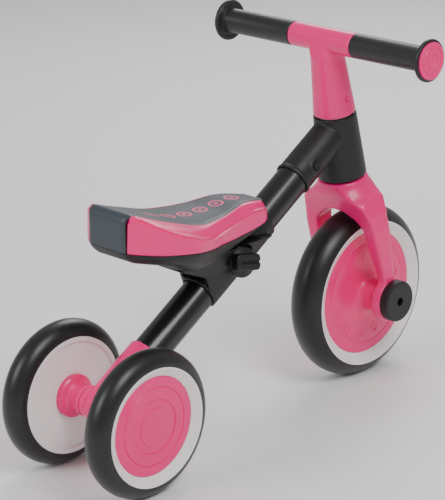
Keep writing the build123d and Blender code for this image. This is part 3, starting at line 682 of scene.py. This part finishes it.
@dataclass
class FrontCover:
    """Front wheel cover: a cone that rises to the hub boss, with a circle of raised rings."""

    side: Side
    radius: float = 73.4
    face: float = 15.6
    wall: float = 2.6
    boss: float = 18.0
    boss_end: float = 43.7
    bore: float = 9.0
    ring_circle: float = 49.0
    ring_radius: float = 4.6
    ring_line: float = 0.55
    ring_count: int = 12

    def outline(self) -> Outline:
        """Outline from the bore at the back, round the rim, to the bore at the boss's end."""
        r, f, b = self.radius, self.face, self.boss
        return (
            (self.bore, self.boss_end), (self.bore, f - self.wall), (r, f - self.wall),
            (r, f - 0.5),
            (r - 0.5, f), (0.86 * r, f + 0.6), (0.85 * r, f + 0.2), (0.835 * r, f + 0.2),
            (0.825 * r, f + 0.6), (0.6 * r, f + 1.3), (b + 12, f + 2.0), (b + 6, f + 3.2),
            (b + 2.5, f + 5.2),
            (b + 0.6, f + 8.0), (b, f + 11.0), (b, self.boss_end - 1), (b - 0.8, self.boss_end),
        )

    def rise(self) -> float:
        """Height of the cone's surface at the circle of rings, above the face."""
        return 0.6 + 0.7 * (0.825 * self.radius - self.ring_circle) / (0.225 * self.radius)

    def build(self, frame: Frame) -> bpy.types.Object:
        """Turn the cover and join the raised rings to it.

        Args:
            frame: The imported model.

        Returns:
            The cover.
        """
        word = self.side.word
        centre = frame.joint_place("front_wheel_spin")
        axis = Vector((0, self.side.value, 0))
        outline = self.outline()
        piece = lathe(f"front_cover_{word}_moulding", (*outline, outline[0]), centre, axis, 128)
        turned = axis.to_track_quat("Z", "Y")
        rings = []
        for number in range(self.ring_count):
            angle = 2 * math.pi * (number + 0.5) / self.ring_count
            reach = Vector((math.cos(angle), 0, math.sin(angle))) * self.ring_circle * MM
            deselect()
            bpy.ops.mesh.primitive_torus_add(
                major_radius=self.ring_radius * MM,
                minor_radius=self.ring_line * MM,
                major_segments=32,
                minor_segments=8,
                location=centre + reach + axis * (self.face + self.rise()) * MM,
                rotation=turned.to_euler(),
            )
            rings.append(bpy.context.object)
        pick(piece)
        for ring in rings:
            ring.select_set(True)
        bpy.context.view_layer.objects.active = piece
        bpy.ops.object.join()
        smooth_shading(piece, 30.0)
        return frame.stand_in(piece, f"front_cover_{word}")


# ---- Handlebar ----


@dataclass
class Grip:
    """Rubber grip with a stop flange, and the plastic plug in its end."""

    side: Side
    radius: float = 14.0
    bore: float = 11.0
    inner: float = 45.0
    end: float = 148.8
    half_length: float = 151.4
    flange: float = 23.4
    plug: float = 20.4

    def grip_outline(self) -> Outline:
        """Outline of the grip, with three fine ribs on the flange's inner face."""
        low = self.end - 4.6
        ribs: list[tuple[float, float]] = []
        for number in range(3):
            at = self.radius + 3.0 + number * 1.9
            ribs += [
                (at, low - 0.05), (at + 0.35, low - 0.45), (at + 0.75, low - 0.45),
                (at + 1.1, low - 0.05)
            ]
        return (
            (self.bore, self.inner), (self.radius - 0.5, self.inner),
            (self.radius, self.inner + 0.5),
            (self.radius, low - 3.0), (self.radius + 0.6, low - 1.2),
            (self.radius + 2.0, low - 0.2), *ribs,
            (self.flange - 1.2, low + 0.1), (self.flange - 0.3, low + 0.7),
            (self.flange, low + 1.6),
            (self.flange, self.end - 1.4), (self.flange - 0.4, self.end - 0.5),
            (self.flange - 1.2, self.end),
            (self.plug + 0.1, self.end), (self.plug + 0.1, self.end - 1.2),
            (self.bore, self.end - 1.2),
        )

    def plug_outline(self) -> Outline:
        """Outline of the end plug, with concentric steps."""
        h, p = self.half_length, self.plug
        return (
            (0.1, self.end - 1.2), (p, self.end - 1.2), (p, h - 0.9), (p - 0.8, h - 0.3),
            (0.78 * p, h - 0.2),
            (0.76 * p, h - 0.9), (0.72 * p, h - 0.9), (0.70 * p, h - 0.35), (0.42 * p, h - 0.3),
            (0.40 * p, h - 0.9), (0.36 * p, h - 0.9), (0.34 * p, h - 0.2), (0.2 * p, h), (0.1, h),
        )

    def build(self, frame: Frame) -> None:
        """Turn the grip and its plug.

        Args:
            frame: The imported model.
        """
        word = self.side.word
        low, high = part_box(f"grip_{word}")
        centre = Vector(((low.x + high.x) / 2, 0, (low.z + high.z) / 2))
        axis = Vector((0, self.side.value, 0))
        outline = self.grip_outline()
        grip = lathe(f"grip_{word}_rubber", (*outline, outline[0]), centre, axis, 72)
        smooth_shading(grip, 35.0)
        frame.stand_in(grip, f"grip_{word}")
        plug = lathe(f"grip_cap_{word}_moulding", self.plug_outline(), centre, axis, 72)
        smooth_shading(plug, 30.0)
        frame.stand_in(plug, f"grip_cap_{word}")


# ---- Saddle ----


@dataclass
class Saddle:
    """Saddle shell with a crease round its sides, and the soft strip laid over it.

    Places along X are counted from the rear face, heights from the middle of the clamp.
    """

    steps: int = 160
    plan: Outline = (
        (0.0, 27.0), (11.0, 42.0), (29.0, 58.0), (61.0, 67.0), (93.0, 60.0), (121.0, 48.0),
        (161.0, 36.0),
        (200.5, 31.0), (213.0, 25.0), (217.5, 14.0),
    )
    strip: Outline = (
        (-2.0, 26.5), (20.0, 32.0), (60.0, 40.0), (97.0, 41.5), (130.0, 35.0), (181.0, 22.5),
        (218.5, 15.0),
    )
    top: Outline = (
        (8.0, 97.1), (51.0, 82.0), (96.0, 68.6), (139.0, 66.0), (181.0, 68.4), (217.5, 61.6)
    )
    under: Outline = ((0.0, 57.6), (54.0, 52.6), (114.0, 42.6), (159.0, 38.6), (217.5, 43.6))
    shoulder: Outline = (
        (0.0, 2.0), (20.0, 6.0), (45.0, 10.0), (90.0, 11.0), (130.0, 10.5), (170.0, 9.5),
        (217.5, 6.5)
    )
    belly: Outline = (
        (5.0, 46.6), (45.0, 34.6), (84.0, 18.0), (122.0, 18.0), (165.0, 27.0), (210.5, 42.0)
    )
    keel: float = 23.5
    rear_lean: float = 2.5
    lean_fades: float = 40.0
    rear_round: float = 9.0
    nose_round: float = 7.0
    middle: float = 105.0
    clamp_at: float = 172.8
    rise: float = 31.8
    tube_room: float = 21.0
    strip_thick: float = 5.0
    strip_proud: float = 1.0
    corner: float = 9.0
    nose_drop: float = 13.0

    def origin(self) -> Vector:
        """The rear face's foot, level with the middle of the clamp."""
        low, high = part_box("saddle_shell")
        return Vector((low.x, 0, high.z - self.top[0][1] * MM))

    def ring_points(self, plan: Outline) -> list[tuple[float, float]]:
        """Walk evenly round a plan, from mid rear, along the left, and back on the right.

        Args:
            plan: (place, half-width) pairs.

        Returns:
            (x, y) points in millimetres.
        """
        rear, nose = plan[0], plan[-1]
        half = [(rear[0], rear[1] * i / 8) for i in range(8)]
        samples = 400
        for i in range(samples + 1):
            at = rear[0] + (nose[0] - rear[0]) * (1 - math.cos(math.pi * i / samples)) / 2
            half.append((at, curve_at(plan, at)))
        half += [(nose[0], nose[1] * (8 - i) / 8) for i in range(1, 9)]
        lengths = [0.0]
        for first, second in zip(half, half[1:]):
            lengths.append(lengths[-1] + math.dist(first, second))
        count = self.steps // 2
        even = []
        for i in range(count + 1):
            want = lengths[-1] * i / count
            index = max(1, next(k for k, value in enumerate(lengths) if value >= want - 1e-9))
            share = (want - lengths[index - 1]) / max(lengths[index] - lengths[index - 1], 1e-9)
            (x0, y0), (x1, y1) = half[index - 1], half[index]
            even.append((x0 + (x1 - x0) * share, y0 + (y1 - y0) * share))
        return even + [(x, -y) for x, y in reversed(even[1:-1])]

    def channel(self, x: float, y: float) -> float:
        """Height that clears the sliding tube, or far below where the tube doesn't reach."""
        if abs(y) >= self.tube_room:
            return FAR_BELOW
        rise = math.radians(self.rise)
        return (x - self.clamp_at) * math.tan(rise) + math.sqrt(
            self.tube_room**2 - y**2
        ) / math.cos(rise)

    def seat_rings(self) -> tuple[list[tuple[float, float]], list[tuple[float, float]]]:
        """Plan rings of the shell and the strip's seat, drawn in where the strip wraps down."""
        nose = self.plan[-1][0]
        outer, inner = [], []
        for (x, y), (sx, sy) in zip(self.ring_points(self.plan), self.ring_points(self.strip)):
            if x < 1 and abs(y) < self.strip[0][1]:
                x = self.strip_thick - 0.5
            elif x > nose - 0.5 and abs(y) < self.strip[-1][1]:
                x = nose - self.strip_thick + 1
            outer.append((x, y))
            inner.append((min(max(sx, self.strip_thick + 1), nose - self.strip_thick), sy))
        return outer, inner

    def level_ring(
        self, plan: list[tuple[float, float]], narrow: float, drawn_in: float, curve: Outline,
        lift: float
    ) -> Points:
        """One ring under the saddle.

        Args:
            plan: The plan to follow.
            narrow: Share of the half-width that is kept.
            drawn_in: Distance that the ring is drawn in, before it is narrowed.
            curve: The height along the saddle.
            lift: Added to the height.

        Returns:
            The ring's points, clear of the tube.
        """
        base, points = self.origin(), []
        for x, y in plan:
            step = Vector((self.middle - x, -y)).normalized() * drawn_in
            px, py = x + step.x, (y + step.y) * narrow
            level = max(curve_at(curve, px) + lift, self.channel(px, py))
            points.append(base + Vector((px, py, level)) * MM)
        return points

    def roof(self, x: float) -> float:
        """Height of the shell's top at one place, rounded over at the rear and at the nose."""
        nose = self.plan[-1][0]
        height = curve_at(self.top, x)
        for reach, radius in ((x, self.rear_round), (nose - x, self.nose_round)):
            short = min(max(radius - reach, 0.0), radius)
            height -= radius - math.sqrt(radius**2 - short**2)
        return height

    def lean(self, x: float, level: float) -> float:
        """Forward lean of the rear face at one height, fading out toward the middle."""
        foot, crown = self.under[0][1], self.top[0][1]
        share = min(max((level - foot) / (crown - foot), 0.0), 1.0)
        return self.rear_lean * share * max(0.0, 1 - x / self.lean_fades)

    def shell(self, frame: Frame) -> bpy.types.Object:
        """Build the shell: side, crease, shoulder, and the seat of the strip.

        Args:
            frame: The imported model.

        Returns:
            The shell.
        """
        base = self.origin()
        outer, inner = self.seat_rings()

        def ring(
            drawn_in: float, toward: float, height: float, lift: float, narrow: float = 1.0
        ) -> Points:
            """One ring: drawn in, moved toward the strip, at a share of the height, narrowed."""
            points = []
            for (x, y), (sx, sy) in zip(outer, inner):
                step = Vector((self.middle - x, -y)).normalized() * drawn_in
                px, py = x + step.x, y + step.y
                px, py = px + (sx - px) * toward, (py + (sy - py) * toward) * narrow
                floor = max(curve_at(self.under, px), self.channel(px, py))
                roof = self.roof(px)
                crease = roof - curve_at(self.shoulder, px)
                if height <= 1:
                    level = floor + (crease - floor) * height
                else:
                    level = crease + (roof - crease) * (height - 1)
                points.append(base + Vector((px + self.lean(px, level), py, level + lift)) * MM)
            return points

        rings = [
            self.level_ring(outer, share, 5.0, self.under, 5.0) for share in (
                0.0, 0.2, 0.4, 0.6, 0.8, 1.0
            )
        ]
        rings += [ring(4.0, 0, 0.0, 0.2), ring(1.2, 0, 0.0, 0.0), ring(0.2, 0, 0.0, 1.0)]
        rings += [ring(0, 0, share, 0.0) for share in (0.1, 0.3, 0.5, 0.7, 0.86)]
        rings += [
            ring(0.0, 0, 1.0, -1.6), ring(1.6, 0, 1.0, -1.1), ring(2.8, 0, 1.0, 0.0),
            ring(2.6, 0, 1.0, 1.2)
        ]
        for share in (0.12, 0.28, 0.46, 0.64, 0.8, 0.92, 1.0):
            rings.append(ring(2.6 * (1 - share), share, 1 + math.sin(share * math.pi / 2), 0.0))
        rings += [ring(0, 1.0, 2.0, -3.0, share) for share in (0.96, 0.6, 0.3, 0.0)]
        piece = ring_stack("saddle_shell_moulding", rings, End.JOINED, End.JOINED)
        smooth_shading(piece, 32.0)
        return frame.stand_in(piece, "saddle_shell")

    def pan(self, frame: Frame) -> bpy.types.Object:
        """Build the bowl under the shell, with a fine step where the two meet.

        Args:
            frame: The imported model.

        Returns:
            The pan.
        """
        base = self.origin()
        outer = self.ring_points(self.plan)
        rings = [
            self.level_ring(outer, share, 6.0, self.under, 3.0) for share in (0.0, 0.3, 0.6, 1.0)
        ]
        rings += [
            self.level_ring(outer, 1.0, 1.9, self.under, -0.3),
            self.level_ring(outer, 1.0, 1.4, self.under, -1.2)
        ]
        for count in range(1, 15):
            share = count / 14
            points = []
            for x, y in outer:
                step = Vector((self.middle - x, -y)).normalized() * 1.4
                px, py = x + step.x, y + step.y
                kept = math.copysign(min(abs(py), self.keel), py)
                px += (min(max(px, self.belly[0][0] + 8), self.belly[-1][0] - 5) - px) * share
                py += (kept - py) * (1 - math.cos(share * math.pi / 2))
                brim, keel = curve_at(self.under, px) - 1.2, curve_at(self.belly, px)
                level = brim + (keel - brim) * math.sin(share * math.pi / 2)
                points.append(base + Vector((px, py, max(level, self.channel(px, py)))) * MM)
            rings.append(points)
        last = [(point - base) / MM for point in rings[-1]]
        for narrow in (0.66, 0.33, 0.0):
            rings.append([
                base + Vector(
                    (
                        p.x, p.y * narrow,
                        max(curve_at(self.belly, p.x), self.channel(p.x, p.y * narrow))
                    )
                ) * MM
                for p in last
            ])
        piece = ring_stack("saddle_pan_moulding", rings, End.JOINED, End.JOINED)
        smooth_shading(piece, 40.0)
        return frame.stand_in(piece, "saddle_pan")

    def path(self) -> list[tuple[float, float, float]]:
        """Side line of the strip: rear face, round the corner, over the top and down the nose.

        Returns:
            (x, height, direction in radians) of each station.
        """
        foot = curve_at(self.under, 0) + 0.5
        rear_x = -self.strip_proud
        line = [(rear_x, foot + (self.top[0][1] - self.corner - foot) * i / 8) for i in range(8)]
        for i in range(9):
            turn = math.pi / 2 * i / 8
            at = rear_x + self.corner * (1 - math.cos(turn))
            line.append(
                (at, curve_at(self.top, at) + self.strip_proud - self.corner * (1 - math.sin(turn)))
            )
        start, end = line[-1][0], self.top[-1][0] - 3
        for i in range(1, 61):
            at = start + (end - start) * i / 60
            line.append((at, curve_at(self.top, at) + self.strip_proud))
        nose_top = line[-1][1]
        for i in range(1, 7):
            turn = math.pi / 2 * i / 6
            line.append((end + 3.6 * math.sin(turn), nose_top - 3.6 * (1 - math.cos(turn))))
        line += [(end + 3.6, nose_top - 3.6 - (self.nose_drop - 3.6) * i / 3) for i in (1, 2, 3)]
        stations = []
        for index, (x, z) in enumerate(line):
            before, after = line[max(index - 1, 0)], line[min(index + 1, len(line) - 1)]
            stations.append((x, z, math.atan2(after[1] - before[1], after[0] - before[0])))
        return stations

    def pad(self, frame: Frame) -> bpy.types.Object:
        """Sweep the strip's section along its path.

        Args:
            frame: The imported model.

        Returns:
            The strip.
        """
        base = self.origin()
        rings = []
        across = 24
        for x, z, direction in self.path():
            half = curve_at(self.strip, x)
            up = Vector((-math.sin(direction), 0, math.cos(direction)))
            section = []
            for i in range(across + 1):
                share = -1 + 2 * i / across
                edge = max(0.0, abs(share) - 0.86) / 0.14
                section.append((share * half, -1.6 * edge**2))
            for i in range(across + 1):
                share = 1 - 2 * i / across
                section.append((share * (half - 1.2), -self.strip_thick))
            rings.append([base + (Vector((x, y, z)) + up * out) * MM for y, out in section])
        piece = ring_stack("saddle_strip_skin", rings, End.FACE, End.FACE)
        smooth_shading(piece, 40.0)
        frame.stand_in(piece, "saddle_pad")
        return piece


# ---- Studio ----


@dataclass
class Studio:
    """Pale floor, soft lights and the camera, in metres and degrees."""

    camera_place: Vector = field(default_factory=lambda: Vector((-1.5878, -1.5219, 0.9603)))
    azimuth: float = -45.62
    elevation: float = 19.09
    roll: float = -0.75
    lens: float = 153.2
    floor_half: float = 6.0

    def camera(self) -> None:
        """Place the camera at its azimuth, elevation and roll."""
        a, e, r = (math.radians(v) for v in (self.azimuth, self.elevation, self.roll))
        back = Vector((math.sin(a) * math.cos(e), -math.cos(a) * math.cos(e), math.sin(e)))
        level = Vector((math.cos(a), math.sin(a), 0))
        upright = back.cross(level)
        right = level * math.cos(r) + upright * math.sin(r)
        up = upright * math.cos(r) - level * math.sin(r)
        data = bpy.data.cameras.new("camera")
        data.lens = self.lens
        data.sensor_width = 36.0
        data.clip_end = 50.0
        camera = bpy.data.objects.new("camera", data)
        facing = Matrix((right, up, back)).transposed().to_4x4()
        camera.matrix_world = Matrix.Translation(self.camera_place) @ facing
        bpy.context.scene.collection.objects.link(camera)
        bpy.context.scene.camera = camera

    def light(self, name: str, place: Vector, aim: Vector, size: float, power: float) -> None:
        """Add one soft box.

        Args:
            name: Its name.
            place: Where it stands.
            aim: What it points at.
            size: Its side in metres.
            power: Its power in watts.
        """
        data = bpy.data.lights.new(name, "AREA")
        data.shape = "SQUARE"
        data.size = size
        data.energy = power
        lamp = bpy.data.objects.new(name, data)
        lamp.location = place
        lamp.rotation_euler = (aim - place).to_track_quat("-Z", "Y").to_euler()
        bpy.context.scene.collection.objects.link(lamp)

    def floor(self) -> None:
        """Lay the pale floor."""
        deselect()
        bpy.ops.mesh.primitive_plane_add(size=2 * self.floor_half)
        floor = bpy.context.object
        floor.name = "floor"
        paint = Finish(
            "pale_floor", "#F4F4F4", "#F2F2F2", 0.9, grain=3.0, grain_depth=0.0, ripple_depth=0.0
        )
        floor.data.materials.append(paint.make())
        floor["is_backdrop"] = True

    def build(self, centre: Vector) -> None:
        """Set up camera, floor, sky and lights round the object.

        Args:
            centre: The middle of the object.
        """
        self.camera()
        self.floor()
        world = bpy.data.worlds.new("studio")
        world.use_nodes = True
        sky = world.node_tree.nodes["Background"]
        sky.inputs["Color"].default_value = (1, 1, 1, 1)
        sky.inputs["Strength"].default_value = 0.46
        bpy.context.scene.world = world
        self.light("key", centre + Vector((-0.4, -1.6, 1.9)), centre, 1.1, 36)
        self.light("rim", centre + Vector((1.5, 0.9, 1.3)), centre, 1.0, 20)
        self.light("rear", centre + Vector((-1.9, 0.5, 1.1)), centre, 0.9, 17)


def main() -> None:
    """Load the frame, build every piece and set the stage."""
    logging.basicConfig(level=logging.INFO, format="%(name)s: %(message)s")
    frame = Frame(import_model())
    cad_low, cad_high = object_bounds()
    Studio().build((cad_low + cad_high) / 2)
    frame.dress_nodes()
    for moulding in MOULDINGS:
        moulding.build(frame)
    for side in Side:
        RearCover(side).build(frame)
        FrontCover(side).build(frame)
        Grip(side).build(frame)
    saddle = Saddle()
    saddle.shell(frame)
    saddle.pan(frame)
    saddle.pad(frame)
    deselect()


if __name__ == "__main__":
    main()
